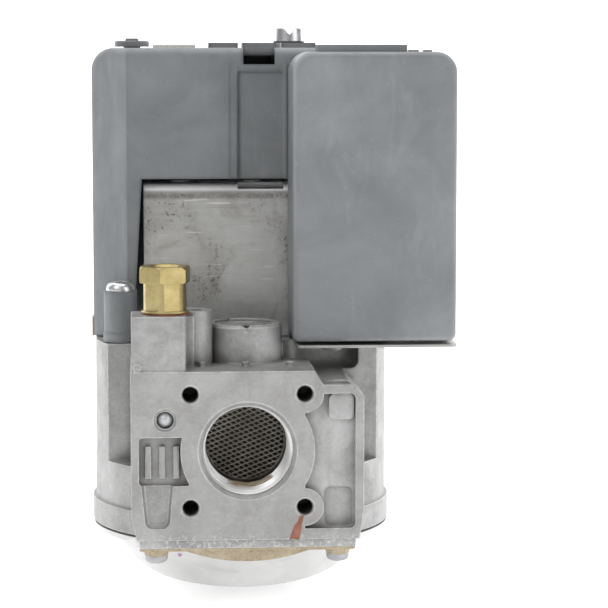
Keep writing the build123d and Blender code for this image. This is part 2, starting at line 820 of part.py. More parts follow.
def coil(x):
    """Winding on the spool."""
    z0 = bobbin_bottom + bobbin_flange
    z1 = bobbin_top - bobbin_flange
    winding = post(x, solenoid_y, z0, z1, coil_radius - 0.3)
    return winding - post(x, solenoid_y, z0 - 1, z1 + 1, plunger_radius + plunger_clearance + bobbin_wall)


def pole_piece(x):
    """Fixed core in the top of the spool, riveted to the frame."""
    core = post(x, solenoid_y, frame_top - frame_sheet - pole_length, frame_top - frame_sheet,
                plunger_radius + plunger_clearance)
    core += post(x, solenoid_y, frame_top - frame_sheet, frame_top + 0.6, plunger_radius - 1)
    pocket = post(x, solenoid_y, frame_top - frame_sheet - pole_length - 1,
                  frame_top - frame_sheet - pole_length + 6, coil_spring_radius + coil_spring_wire + 0.15)
    return core - pocket


def plunger(x, lift):
    """Moving core, closed position, lift below the fixed core."""
    top = frame_top - frame_sheet - pole_length - lift - 0.3
    core = post(x, solenoid_y, top - plunger_length, top, plunger_radius)
    core = chamfer(core.edges().group_by(Axis.Z)[-1], 0.4)
    return core


def plunger_spring(x, lift):
    """Return spring between the fixed and the moving core."""
    top = frame_top - frame_sheet - pole_length
    w = coil_spring_wire
    return coil_spring(x, solenoid_y, top - lift - 0.3 + w, top + 6 - w, coil_spring_radius, w, 4.5)


def first_valve_disc():
    """Rubber disc and rod under the first plunger, on the seat in the web."""
    bottom = frame_top - frame_sheet - pole_length - first_travel - 0.3 - plunger_length
    rod_part = post(first_solenoid_x, solenoid_y, web_top + first_disc_thickness, bottom,
                    plunger_radius - 1.6)
    return rod_part + post(first_solenoid_x, solenoid_y, web_top, web_top + first_disc_thickness,
                           first_disc_radius)


def servo_valve_disc():
    """Small rubber disc under the second plunger, on the deck."""
    bottom = frame_top - frame_sheet - pole_length - second_travel - 0.3 - plunger_length
    tip = gasket_top
    stalk = post(second_solenoid_x, solenoid_y, tip + servo_disc_thickness, bottom, 1.4)
    return stalk + post(second_solenoid_x, solenoid_y, tip, tip + servo_disc_thickness, servo_disc_radius)


# ---------------------------------------------------------------- regulator
adjust_top = collar_top - cap_stub - 4.0
follower_z = adjust_top - adjust_screw_length - follower_thickness
spring_chamber_top = follower_z + follower_thickness + adjust_travel + 0.5
regulator_shoulder = spring_chamber_top + regulator_roof


def regulator_housing():
    """Cast tower with the regulator's spring chamber and a threaded collar."""
    x = regulator_x
    y = regulator_y
    tower = post(x, y, flange_top, regulator_shoulder, regulator_radius)
    tower += cone(x, y, regulator_shoulder, regulator_shoulder + 3, regulator_radius, collar_radius)
    tower += post(x, y, regulator_shoulder, collar_top, collar_radius)
    tower -= post(x, y, flange_top + 3, spring_chamber_top, regulator_radius - regulator_wall)
    tower -= post(x, y, spring_chamber_top - 0.1, collar_top + 1, regulator_bore)
    return tower


def regulator_diaphragm():
    """Small rubber diaphragm at the foot of the spring."""
    z = flange_top + 3
    disc = post(regulator_x, regulator_y, z, z + 1.0, regulator_radius - regulator_wall)
    return disc + post(regulator_x, regulator_y, z + 1.0, z + 2.4, regulator_spring_radius - 1.4)


def regulator_pedestal():
    """Aluminium pedestal that carries the spring on the diaphragm."""
    z = flange_top + 5.4
    top = follower_z - regulator_spring_length
    stand = post(regulator_x, regulator_y, z, top, regulator_spring_radius - 1.2)
    return stand + post(regulator_x, regulator_y, top - 1.2, top, regulator_spring_radius + 1.0)


def regulator_spring():
    """Regulator spring between the pedestal and the follower."""
    w = regulator_spring_wire
    z0 = follower_z - regulator_spring_length + w
    return coil_spring(regulator_x, regulator_y, z0, follower_z - w, regulator_spring_radius, w, 6.5)


def spring_follower():
    """Washer that presses the spring."""
    r = regulator_radius - regulator_wall - 0.3
    washer = post(regulator_x, regulator_y, follower_z, follower_z + follower_thickness, r)
    return washer + post(regulator_x, regulator_y, follower_z - 1.4, follower_z,
                         regulator_spring_radius - 1.2)


def adjusting_screw():
    """Slotted screw that moves the follower."""
    z0 = follower_z + follower_thickness
    screw = post(regulator_x, regulator_y, z0, adjust_top, regulator_bore - screw_clearance)
    return screw - block(regulator_x - 4, regulator_x + 4, regulator_y - 0.5, regulator_y + 0.5,
                         adjust_top - 1.4, adjust_top + 1)


def cap_seal():
    """Sealing ring under the regulator cap."""
    ring = post(regulator_x, regulator_y, collar_top, collar_top + cap_seal_thickness, cap_radius)
    return ring - post(regulator_x, regulator_y, collar_top - 1, collar_top + 2, regulator_bore)


def regulator_cap():
    """Slotted cap screw that closes the collar."""
    z0 = collar_top + cap_seal_thickness
    z1 = collar_top + cap_height
    head = cone(regulator_x, regulator_y, z0, z1, cap_radius, cap_radius - 0.25)
    head = fillet(head.edges().group_by(Axis.Z)[-1], 0.5)
    stub = post(regulator_x, regulator_y, z0 - cap_stub, z0, regulator_bore - screw_clearance)
    groove = slab([(regulator_x - 1.9, z1 + 0.1), (regulator_x, z1 - 2.2), (regulator_x + 1.9, z1 + 0.1)],
                  regulator_y - 6, regulator_y + 6)
    return head + stub - groove


# ---------------------------------------------------------------- pilot outlet
def pilot_fitting():
    """Brass tube fitting: threaded shank, round waist and hexagon."""
    x = fitting_x
    y = fitting_y
    shank = post(x, y, flange_top + 5, pilot_block_top, fitting_radius - 1.0)
    waist = post(x, y, pilot_block_top, fitting_hex_bottom, fitting_radius)
    waist &= hex_prism(x, y, pilot_block_top, fitting_hex_bottom, fitting_radius * 2.14, fitting_turn)
    waist += post(x, y, pilot_block_top + 0.5, pilot_block_top + 1.1, fitting_radius + 0.5)
    head = hex_prism(x, y, fitting_hex_bottom, fitting_top, fitting_hex, fitting_turn)
    crown = cone(x, y, fitting_hex_bottom, fitting_top, fitting_hex / 2 + 2.4, fitting_hex / 2 - 0.6)
    foot = cone(x, y, fitting_hex_bottom, fitting_top, fitting_hex / 2 - 0.3, fitting_hex / 2 + 3)
    solid = shank + waist + (head & crown & foot)
    solid -= post(x, y, fitting_top - tube_depth, fitting_top + 1, tube_radius)
    solid -= cone(x, y, fitting_top - 1.2, fitting_top + 0.01, tube_radius, tube_radius + 1.5)
    return solid - post(x, y, flange_top + 4, fitting_top, 1.6)


def pilot_filter():
    """Sintered filter below the fitting."""
    return post(fitting_x, fitting_y, flange_top + 2, flange_top + 5, fitting_radius - 1.1)


def pilot_needle():
    """Needle that throttles the pilot gas."""
    top = pilot_screw_bottom
    needle = post(adjust_x, adjust_y, top - 0.8, top, pilot_screw_radius - 0.2)
    return needle + post(adjust_x, adjust_y, top - pilot_needle_length, top, pilot_needle_radius)


def pilot_adjust_screw():
    """Slotted screw above the needle."""
    top = pilot_screw_top
    screw = post(adjust_x, adjust_y, pilot_screw_bottom, top, pilot_screw_radius)
    return screw - block(adjust_x - 4, adjust_x + 4, adjust_y - 0.4, adjust_y + 0.4, top - 1.2, top + 1)


# ---------------------------------------------------------------- main cover
def cover_plan(inset):
    """Plan outline of the main cover, front corner bevelled on the left."""
    left = cover_left + inset
    right = cover_right - inset
    front = cover_front + inset
    back = cover_back - inset
    b = cover_bevel - inset * 0.4
    return [
        (left + b, front), (right - 3, front), (right, front + 3), (right, back - 6), (right - 6, back),
        (left + 6, back), (left, back - 6), (left, front + b),
    ]


def main_cover():
    """Grey plastic cover over the solenoids and the regulator."""
    shell = plan(cover_plan(0), cover_bottom, cover_top)
    shell = fillet(shell.faces().sort_by(Axis.Z)[-1].edges().group_by(Axis.X)[0], cover_corner)
    shell = fillet(shell.faces().sort_by(Axis.Z)[-1].edges().group_by(Axis.X)[1:], cover_edge)
    shell -= plan(cover_plan(cover_wall), cover_bottom - 1, cover_top - cover_wall)
    # window over the solenoid frame, its left side leaning out towards the bottom
    shell -= slab([
        (window_left, window_top), (window_right, window_top), (window_right, cover_bottom - 1),
        (window_left - 1.9, cover_bottom - 1), (window_left - 1.9, cover_bottom + 14),
    ], cover_front - 1, cover_front + cover_wall + 0.5)
    # sunk channel, its ridges and the latch notch at the top
    shell -= block(channel_left, channel_right, cover_front - 1, cover_front + channel_depth, window_top - 1,
                   notch_bottom - 2)
    for x in (channel_left - 3.4, channel_left - 1.0, channel_right + 0.3):
        shell += block(x, x + channel_rib_width, cover_front - 0.35, cover_front + 0.5, window_top,
                       notch_bottom)
    shell -= block(notch_left, notch_right, cover_front - 1, cover_front + notch_depth, notch_bottom,
                   cover_top + 1)
    shell += block(notch_left - 0.2, notch_right + 0.6, cover_front - 0.2, cover_front + cover_wall,
                   notch_bottom - 1.9, notch_bottom - 0.6)
    # ears for the two screws
    ears = post(ear_x, ear_y, cover_bottom, ear_top, ear_radius)
    ears += block(ear_x - ear_radius, ear_x + ear_radius, ear_y, cover_front + 1, cover_bottom, ear_top)
    ears += post(ear_x, ear_y, cover_bottom, cover_bottom + ear_band, ear_radius + 0.25)
    ears += post(rear_ear_x, rear_ear_y, cover_bottom, ear_top, ear_radius)
    shell += ears
    for x, y in ((ear_x, ear_y), (rear_ear_x, rear_ear_y)):
        shell -= post(x, y, cover_bottom - 1, ear_top + 1, screw_shank + shank_gap)
    # raised pads on the top, behind the notch
    ridge_front = cover_front + notch_depth + 1
    for x0, x1 in ridge_spans:
        shell += block(x0, x1, ridge_front, ridge_front + ridge_width, cover_top - 1,
                       cover_top + ridge_height)
    # openings in the top
    reach = connector_gap
    shell -= block(control_left - reach, control_right + reach, control_y - control_width / 2 - reach,
                   control_y + control_width / 2 + reach, cover_top - 4, cover_top + 2)
    shell -= post(knob_x, knob_y, cover_top - 4, cover_top + 1, knob_shaft_radius + running + 0.1)
    shell -= post(regulator_x, regulator_y, cover_top - 4, cover_top + 1, collar_radius + 0.4)
    # notch for the ground clip
    shell -= block(cover_left - 1, cover_left + cover_wall + 3, clip_y - clip_width, clip_y + clip_width,
                   cover_bottom - 1, cover_bottom + 6)
    # relief for the module's bracket
    return shell - block(bracket_left - 0.3, cover_right - 3.5, cover_front - 1, cover_front + cover_wall + 1,
                         cover_bottom - 1, deck_z + bracket_sheet + 0.3)


def cover_screws():
    """Round-head screws through the ears."""
    front = pan_screw(ear_x, ear_y, ear_top, cover_screw_radius, cover_screw_height, screw_shank,
                      ear_top - deck_z + 6)
    rear = pan_screw(rear_ear_x, rear_ear_y, ear_top, cover_screw_radius, cover_screw_height, screw_shank,
                     ear_top - deck_z + 6)
    return [front, rear]


def ground_clip():
    """Bent spring clip between the cover's left wall and the body."""
    y0 = clip_y - clip_width + 0.6
    y1 = clip_y + clip_width - 0.6
    x0 = cover_left - clip_sheet
    top = deck_z + clip_height
    upright = block(x0, x0 + clip_sheet, y0, y1, deck_z, top)
    foot = block(x0, x0 + clip_foot, y0, y1, deck_z, deck_z + clip_sheet)
    hook = block(x0, x0 + clip_hook, y0, y1, top - clip_sheet, top)
    return upright + foot + hook


# ---------------------------------------------------------------- knob and switch
def switch_knob():
    """On/off knob on top of the cover, with its grip and shaft."""
    z0 = cover_top + knob_gap
    knob = post(knob_x, knob_y, z0, z0 + knob_height, knob_radius)
    knob = chamfer(knob.edges().group_by(Axis.Z)[-1], 0.3)
    w = knob_grip_half_width
    grip = block(knob_x - w, knob_x + w, knob_y - knob_radius + 0.5, knob_y + knob_radius - 0.5,
                 z0 + knob_height - 0.2, z0 + knob_height + knob_grip)
    grip = fillet(grip.edges().filter_by(Axis.Y).group_by(Axis.Z)[-1], 0.4)
    shaft = post(knob_x, knob_y, z0 - knob_shaft_length, z0 + 0.1, knob_shaft_radius)
    return knob + grip + shaft


def switch_body():
    """Snap switch under the cover, turned by the knob's shaft."""
    top = cover_top - cover_wall
    low = top - switch_height
    half = switch_depth / 2
    case = block(knob_x - switch_half, knob_x + switch_half, knob_y - half, knob_y + half, low, top)
    case = fillet(case.edges().filter_by(Axis.Z), 1.0)
    case -= post(knob_x, knob_y, low + switch_floor, top + 1, knob_shaft_radius + running)
    for dx in (-tab_offset, tab_offset):
        case += block(knob_x + dx - 0.4, knob_x + dx + 0.4, knob_y - 2.4, knob_y + 2.4, low - tab_length, low)
    return case


# ---------------------------------------------------------------- connectors
def socket(x0, x1, y, width, top, pins, notches):
    """Open-topped connector housing with upright pins; notches are (start, width) cuts in the front rim."""
    low = top - connector_height
    shell = block(x0, x1, y - width / 2, y + width / 2, low, top)
    cavity = block(x0 + connector_wall, x1 - connector_wall, y - width / 2 + connector_wall,
                   y + width / 2 - connector_wall, low + 3.0, top + 1)
    shell = shell - cavity
    step = (x1 - x0 - 2 * connector_wall) / pins
    contacts = []
    for i in range(pins):
        px = x0 + connector_wall + step * (i + 0.5)
        contacts.append(block(px - pin_half, px + pin_half, y - pin_half, y + pin_half, low + 3.0,
                              top - pin_depth))
    for start, gap in notches:
        shell -= block(start, start + gap, y - width / 2 - 1, y - width / 2 + connector_wall + 0.1,
                       top - keyway, top + 1)
    return shell, contacts


def module_cover():
    """Front shell of the electronics module, open at the back."""
    box = block(module_left, module_right, module_front, module_back - module_wall, module_bottom, module_top)
    corners = box.edges().filter_by(Axis.Y)
    box = fillet(corners.group_by(Axis.Z)[-1], module_corner)
    box = fillet(box.edges().filter_by(Axis.Y).group_by(Axis.Z)[0], 2.0)
    box = fillet(box.faces().sort_by(Axis.Y)[0].edges(), 1.9)
    w = module_wall
    hollow = block(module_left + w, module_right - w, module_front + w, module_back + 1, module_bottom + w,
                   module_top - w)
    hollow = fillet(hollow.edges().filter_by(Axis.Y).group_by(Axis.Z)[-1], module_corner - w)
    box -= hollow
    for x0, x1 in module_nubs:
        box += block(x0, x1, harness_y - 2, harness_y + 2, module_top - 1, module_top + nub_height)
    gap = connector_gap
    return box - block(harness_left - gap, harness_right + gap, harness_y - harness_width / 2 - gap,
                       harness_y + harness_width / 2 + gap, module_top - 6, module_top + 1)


def module_back_plate():
    """Plate that closes the module against the main cover."""
    plate = block(module_left, module_right, module_back - module_wall, module_back, module_bottom,
                  module_top)
    plate = fillet(plate.edges().filter_by(Axis.Y).group_by(Axis.Z)[-1], module_corner)
    inside = module_wall + 0.2
    front = module_back - module_wall
    rib = block(module_left + inside, module_right - inside, front - 1.2, front, module_bottom + inside,
                module_bottom + inside + 1.5)
    return plate + rib


def bracket_screw_places():
    y = facet_y + bracket_reach - 4.0
    return [(bracket_screw_left, y), (cover_right - 10.0, y)]


def module_bracket():
    """Thin sheet-metal bracket that carries the module on the deck."""
    low = deck_z
    high = deck_z + bracket_sheet
    front = block(bracket_left, bracket_right, module_front + bracket_front_gap, module_back, low, high)
    rear = block(bracket_left, cover_right - 6.0, module_back - 2, facet_y + bracket_reach, low, high)
    sheet = front + rear
    sheet = fillet(sheet.edges().filter_by(Axis.Z), 1.5)
    sheet += cone(lobe_x, module_front + lobe_setback, low - 1.1, low, 2.4, 3.6)
    for x, y in bracket_screw_places():
        sheet -= post(x, y, low - 1, high + 1, bracket_screw_radius + 0.15)
    return sheet


def circuit_board():
    """Board of the control circuit, upright behind the module's front."""
    m = module_wall + board_margin
    top = module_top + harness_proud - connector_height - 1.5
    return block(module_left + m, module_right - m, board_y, board_y + board_thickness, module_bottom + m,
                 top)


def relays():
    """Two relays on the board."""
    out = []
    for z in relay_bottoms:
        case = block(relay_left, relay_left + relay_width, board_y - relay_depth, board_y, z,
                     z + relay_height)
        out.append(fillet(case.edges().filter_by(Axis.Y), 0.8))
    return out


def capacitors():
    """Round capacitors standing on the board."""
    out = []
    for x, z, r in capacitor_places:
        can = rod(x, z, board_y - capacitor_depth, board_y, r)
        out.append(fillet(can.edges().group_by(Axis.Y)[0], 0.6))
    return out


def controller_chip():
    """Controller chip on the board."""
    return block(chip_left, chip_left + chip_side, board_y - chip_height, board_y, chip_bottom,
                 chip_bottom + chip_side)


def module_screws():
    """Screws that hold the bracket to the deck."""
    seat = deck_z + bracket_sheet
    return [pan_screw(x, y, seat, 2.4, 0.9, bracket_screw_radius, 5.0) for x, y in bracket_screw_places()]


# ---------------------------------------------------------------- write every piece
os.makedirs("parts", exist_ok=True)


def save(name, shape):
    """Write one node; a list becomes a group of separate solids."""
    if isinstance(shape, list):
        shape = Compound(children=[s.solid() if not isinstance(s, Solid) else s for s in shape])
    export_step(shape, f"parts/{name}.step")


control_step = (control_right - control_left) / (control_notches + 1)
control_cuts = [(control_left + control_step * (i + 1) - notch_width / 2,
                 notch_width) for i in range(control_notches)]
control_shell, control_pins = socket(control_left, control_right, control_y, control_width,
                                     cover_top + connector_proud, 5, control_cuts)
harness_shell, harness_pins = socket(harness_left, harness_right, harness_y, harness_width,
                                     module_top + harness_proud, 8, [(harness_seam, seam_width)])

nodes = {
    "valve_body": valve_body(),
    "ball_plug": ball_plug(),
    "boss_plug": boss_plug(),
    "inlet_tap_plug": tap_plug(),
    "outlet_tap_plug": mirror_ends(tap_plug()),
    "inlet_screen": inlet_screen(),
    "screen_ring": screen_ring(),
    "bottom_cover": bottom_cover(),
    "bottom_cover_screws": bottom_cover_screws(),
    "inlet_bottom_plate": end_bottom_plate(),
    "outlet_bottom_plate": mirror_ends(end_bottom_plate()),
    "bottom_plate_screws": end_plate_screws() + [mirror_ends(s) for s in end_plate_screws()],
    "main_diaphragm": main_diaphragm(),
    "diaphragm_plate": diaphragm_plate(),
    "valve_stem": valve_stem(),
    "disc_seal": disc_seal(),
    "main_valve_disc": main_valve_disc(),
    "main_spring": main_spring(),
    "deck_gasket": deck_gasket(),
    "solenoid_base_plate": solenoid_base_plate(),
    "solenoid_frame": solenoid_frame(),
    "first_bobbin": bobbin(first_solenoid_x),
    "first_coil": coil(first_solenoid_x),
    "first_pole_piece": pole_piece(first_solenoid_x),
    "first_plunger": plunger(first_solenoid_x, first_travel),
    "first_plunger_spring": plunger_spring(first_solenoid_x, first_travel),
    "first_valve_disc": first_valve_disc(),
    "second_bobbin": bobbin(second_solenoid_x),
    "second_coil": coil(second_solenoid_x),
    "second_pole_piece": pole_piece(second_solenoid_x),
    "second_plunger": plunger(second_solenoid_x, second_travel),
    "second_plunger_spring": plunger_spring(second_solenoid_x, second_travel),
    "servo_valve_disc": servo_valve_disc(),
    "regulator_housing": regulator_housing(),
    "regulator_diaphragm": regulator_diaphragm(),
    "regulator_pedestal": regulator_pedestal(),
    "regulator_spring": regulator_spring(),
    "spring_follower": spring_follower(),
    "regulator_adjusting_screw": adjusting_screw(),
    "cap_seal": cap_seal(),
    "regulator_cap": regulator_cap(),
    "pilot_fitting": pilot_fitting(),
    "pilot_filter": pilot_filter(),
    "pilot_needle": pilot_needle(),
    "pilot_adjust_screw": pilot_adjust_screw(),
    "main_cover": main_cover(),
    "cover_screws": cover_screws(),
    "ground_clip": ground_clip(),
    "switch_knob": switch_knob(),
    "switch_body": switch_body(),
    "control_connector": control_shell,
    "control_pins": control_pins,
    "harness_connector": harness_shell,
    "harness_pins": harness_pins,
    "module_cover": module_cover(),
    "module_back_plate": module_back_plate(),
    "module_bracket": module_bracket(),
    "module_screws": module_screws(),
    "circuit_board": circuit_board(),
    "board_parts": relays() + capacitors() + [controller_chip()],
}

for name, shape in nodes.items():
    save(name, shape)
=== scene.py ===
import json
import math

import bmesh
import bpy
from mathutils import Matrix, Vector, noise


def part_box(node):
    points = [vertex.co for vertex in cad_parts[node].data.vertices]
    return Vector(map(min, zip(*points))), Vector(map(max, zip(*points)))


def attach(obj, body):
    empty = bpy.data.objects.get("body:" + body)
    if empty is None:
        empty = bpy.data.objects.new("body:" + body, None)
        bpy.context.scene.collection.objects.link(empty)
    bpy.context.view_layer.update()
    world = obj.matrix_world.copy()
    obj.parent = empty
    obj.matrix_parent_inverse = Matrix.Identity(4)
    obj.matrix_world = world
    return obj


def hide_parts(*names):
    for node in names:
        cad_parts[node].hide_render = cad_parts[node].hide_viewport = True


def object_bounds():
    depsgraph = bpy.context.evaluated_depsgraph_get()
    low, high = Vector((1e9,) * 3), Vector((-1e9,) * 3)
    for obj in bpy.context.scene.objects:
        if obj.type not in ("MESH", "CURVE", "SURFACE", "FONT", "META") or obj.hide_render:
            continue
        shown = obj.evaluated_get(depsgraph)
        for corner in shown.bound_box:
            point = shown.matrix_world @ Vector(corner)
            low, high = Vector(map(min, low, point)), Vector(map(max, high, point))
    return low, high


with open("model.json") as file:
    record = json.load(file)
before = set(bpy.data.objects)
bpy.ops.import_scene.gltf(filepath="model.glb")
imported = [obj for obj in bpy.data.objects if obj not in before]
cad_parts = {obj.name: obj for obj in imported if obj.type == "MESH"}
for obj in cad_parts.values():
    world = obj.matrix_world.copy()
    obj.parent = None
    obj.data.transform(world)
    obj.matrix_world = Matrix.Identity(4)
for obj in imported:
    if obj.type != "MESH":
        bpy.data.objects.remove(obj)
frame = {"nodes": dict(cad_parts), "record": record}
CAD_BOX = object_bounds()
NODES = frame["nodes"]
MM = 0.001
# noise_vector shifts by a seeded offset, and without a seed that is a new one each run
noise.seed_set(1)


# ---------------------------------------------------------------- node helpers
class Graph:
    """One material's node tree, with short calls for the nodes used here."""

    def __init__(self, name, metallic=0.0, roughness=0.5, color=(0.5, 0.5, 0.5)):
        self.material = bpy.data.materials.new(name)
        self.material.use_nodes = True
        self.tree = self.material.node_tree
        self.shader = self.tree.nodes["Principled BSDF"]
        self.set("Metallic", metallic)
        self.set("Roughness", roughness)
        self.set("Base Color", (*color, 1.0))
        self.coord = self.node("ShaderNodeTexCoord").outputs["Object"]

    def node(self, kind, links=None, **settings):
        made = self.tree.nodes.new(kind)
        for key, value in settings.items():
            setattr(made, key, value)
        for key, value in (links or {}).items():
            self.feed(made.inputs[key], value)
        return made

    def feed(self, socket, value):
        if isinstance(value, bpy.types.NodeSocket):
            self.tree.links.new(value, socket)
        elif isinstance(value, tuple) and len(value) == 3 and socket.type == "RGBA":
            socket.default_value = (*value, 1.0)
        else:
            socket.default_value = value

    def set(self, name, value):
        self.feed(self.shader.inputs[name], value)

    def noise(self, scale, detail=4.0, rough=0.6, stretch=None, distortion=0.0):
        """Noise of about 1/scale metres."""
        where = self.coord
        if stretch:
            where = self.node("ShaderNodeMapping", {"Vector": where, "Scale": stretch}).outputs[0]
        made = self.node("ShaderNodeTexNoise", {
            "Vector": where, "Scale": scale, "Detail": detail, "Roughness": rough,
            "Distortion": distortion})
        return made.outputs["Fac"]

    def waves(self, scale, direction, distortion=0.0):
        links = {"Vector": self.coord, "Scale": scale, "Distortion": distortion}
        made = self.node("ShaderNodeTexWave", links, bands_direction=direction)
        return made.outputs["Fac"]

    def span(self, value, low, high, out_low=0.0, out_high=1.0):
        """value from low..high to out_low..out_high, held at the ends."""
        made = self.node("ShaderNodeMapRange", {
            "Value": value, "From Min": low, "From Max": high, "To Min": out_low, "To Max": out_high})
        return made.outputs["Result"]

    def math(self, operation, a, b=0.0):
        made = self.node("ShaderNodeMath", operation=operation)
        self.feed(made.inputs[0], a)
        self.feed(made.inputs[1], b)
        return made.outputs[0]

    def mix(self, factor, a, b, blend="MIX"):
        made = self.node("ShaderNodeMix", data_type="RGBA", blend_type=blend)
        self.feed(made.inputs["Factor"], factor)
        self.feed(made.inputs[6], a)
        self.feed(made.inputs[7], b)
        return made.outputs[2]

    def axis(self, name):
        return self.node("ShaderNodeSeparateXYZ", {0: self.coord}).outputs[name]

    def bump(self, height, strength, distance, under=None):
        links = {"Height": height, "Strength": strength, "Distance": distance}
        if under is not None:
            links["Normal"] = under
        return self.node("ShaderNodeBump", links).outputs[0]

    def soft_edges(self, radius):
        return self.node("ShaderNodeBevel", {"Radius": radius}, samples=4).outputs[0]

    def edge_mask(self, radius, gain):
        """1 along edges, from how far the rounded normal leans from the true one."""
        rounded = self.soft_edges(radius)
        plain = self.node("ShaderNodeNewGeometry").outputs["Normal"]
        dot = self.node("ShaderNodeVectorMath", {0: rounded, 1: plain}, operation="DOT_PRODUCT")
        return self.math("MULTIPLY", self.math("SUBTRACT", 1.0, dot.outputs["Value"]), gain)

    def crevices(self, distance):
        made = self.node("ShaderNodeAmbientOcclusion", {"Distance": distance}, samples=4, only_local=True)
        return made.outputs["AO"]


# ---------------------------------------------------------------- places from the frame
def mount(name):
    return next(m for m in frame["record"]["mounts"] if m["name"] == name)


PORT_RADIUS = mount("inlet_port")["dims"]["r_mm"] * MM
BOLT_HALF = mount("inlet_bolts")["dims"]["spacing_x_mm"] * MM / 2
LENGTH = mount("outlet_bolts")["pos_m"][1]
SCREEN_LOW, SCREEN_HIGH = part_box("inlet_screen")
PORT_FLOOR = SCREEN_HIGH.y - 0.1 * MM
FRAME_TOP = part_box("solenoid_frame")[1].z - 0.6 * MM
FLANGE_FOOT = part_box("valve_body")[0].z + 2.4 * MM


# ---------------------------------------------------------------- materials
def cast_aluminium():
    """As-cast aluminium: blotched grey, fine grain, bright edges that are partly wear and partly painted
    highlight, painted shade in the corners.
    """
    g = Graph("cast_aluminium", metallic=0.45, roughness=0.5)
    blotch = g.noise(70, 6, 0.6, distortion=0.4)
    grain = g.noise(1500, 3, 0.7)
    streak = g.noise(150, 4, 0.6, stretch=(1.0, 1.0, 0.3), distortion=0.8)
    tone = g.mix(g.span(blotch, 0.32, 0.68), (0.23, 0.23, 0.226), (0.44, 0.442, 0.44))
    tone = g.mix(g.span(streak, 0.50, 0.70, 0.0, 0.5), tone, (0.22, 0.215, 0.205))
    tone = g.mix(g.span(grain, 0.35, 0.75, 0.0, 0.30), tone, (0.52, 0.52, 0.515))
    shade = g.span(g.noise(38, 5, 0.6, distortion=0.6), 0.50, 0.66, 0.0, 0.45)
    tone = g.mix(shade, tone, (0.23, 0.228, 0.222))
    mottle = g.noise(420, 6, 0.72, distortion=0.5)
    tone = g.mix(g.span(mottle, 0.50, 0.68, 0.0, 0.22), tone, (0.52, 0.525, 0.53))
    tone = g.mix(g.span(mottle, 0.34, 0.48, 0.24, 0.0), tone, (0.20, 0.197, 0.19))
    pits = g.span(g.noise(900, 3, 0.6), 0.66, 0.72, 0.0, 0.35)
    tone = g.mix(pits, tone, (0.15, 0.14, 0.13))
    # the machined flange faces are darker, with fine cutter arcs, and crumble white at the bottom edge
    end_depth = g.math("MINIMUM", g.axis("Y"), g.math("SUBTRACT", LENGTH, g.axis("Y")))
    face = g.span(end_depth, 0.0, 0.0006, 1.0, 0.0)
    tone = g.mix(g.math("MULTIPLY", face, 0.30), tone, (0.30, 0.296, 0.288))
    arcs = g.noise(420, 2, 0.5, stretch=(0.22, 1.0, 1.0), distortion=1.5)
    arcs = g.math("MULTIPLY", g.span(arcs, 0.56, 0.64), face)
    tone = g.mix(g.math("MULTIPLY", arcs, 0.05), tone, (0.60, 0.60, 0.59))
    low_edge = g.span(g.axis("Z"), FLANGE_FOOT - 0.0004, FLANGE_FOOT + 0.0022, 1.0, 0.0)
    crumbs = g.span(g.noise(900, 4, 0.75), 0.50, 0.64)
    near_face = g.span(end_depth, 0.0012, 0.0016, 1.0, 0.0)
    crumbs = g.math("MULTIPLY", g.math("MULTIPLY", low_edge, crumbs), near_face)
    tone = g.mix(g.math("MULTIPLY", crumbs, 0.8), tone, (0.68, 0.68, 0.67))
    # edges painted bright, broken up by the mottle: partly wear, partly painted highlight
    edge = g.edge_mask(0.0006, 3.0)
    wear_and_highlight = g.math("MULTIPLY", g.span(edge, 0.05, 0.40), g.span(mottle, 0.36, 0.56, 0.35, 1.0))
    tone = g.mix(wear_and_highlight, tone, (0.84, 0.84, 0.83))
    # the gas ways behind the strainers are painted near black: painted shade deep in the bore
    squares = [g.math("POWER", g.axis(name), 2.0) for name in ("X", "Z")]
    across = g.math("SQRT", g.math("ADD", *squares))
    gas_way_shade = g.math("MULTIPLY", g.span(across, PORT_RADIUS, PORT_RADIUS + 0.001, 0.95, 0.0),
                    g.span(end_depth, PORT_FLOOR - 0.0006, PORT_FLOOR, 0.0, 1.0))
    tone = g.mix(gas_way_shade, tone, (0.030, 0.026, 0.020))
    # painted shade: corners and recesses darkened by ambient occlusion
    crevice_shade = g.crevices(0.005)
    tone = g.mix(g.span(crevice_shade, 0.20, 0.80, 0.80, 0.0), tone, (0.075, 0.068, 0.058))
    g.set("Base Color", tone)
    g.set("Roughness", g.span(g.noise(420, 4, 0.6), 0.3, 0.7, 0.36, 0.60))
    rounded = g.soft_edges(0.0010)
    lumps = g.bump(g.noise(240, 4, 0.55), 0.45, 0.0004, rounded)
    marks = g.bump(crumbs, 0.5, 0.0002, lumps)
    g.set("Normal", g.bump(grain, 0.4, 0.00014, marks))
    return g.material


def polished_aluminium():
    """Spun cover: pale, satin, with faint cloudy wear."""
    g = Graph("polished_aluminium", metallic=0.5, roughness=0.36)
    cloud = g.noise(60, 5, 0.55)
    tone = g.mix(g.span(cloud, 0.3, 0.7), (0.54, 0.543, 0.54), (0.68, 0.68, 0.677))
    smear = g.noise(140, 4, 0.6, stretch=(0.4, 1.0, 1.0), distortion=0.8)
    tone = g.mix(g.span(smear, 0.58, 0.72, 0.0, 0.3), tone, (0.32, 0.325, 0.32))
    edge = g.edge_mask(0.0004, 3.0)
    g.set("Base Color", g.mix(g.span(edge, 0.15, 0.8, 0.0, 0.5), tone, (0.34, 0.34, 0.34)))
    g.set("Roughness", g.span(g.noise(300, 4, 0.6), 0.3, 0.7, 0.28, 0.46))
    lumps = g.bump(g.noise(120, 3, 0.5), 0.25, 0.0003, g.soft_edges(0.0004))
    g.set("Normal", g.bump(g.noise(700, 3, 0.6), 0.2, 0.0001, lumps))
    return g.material


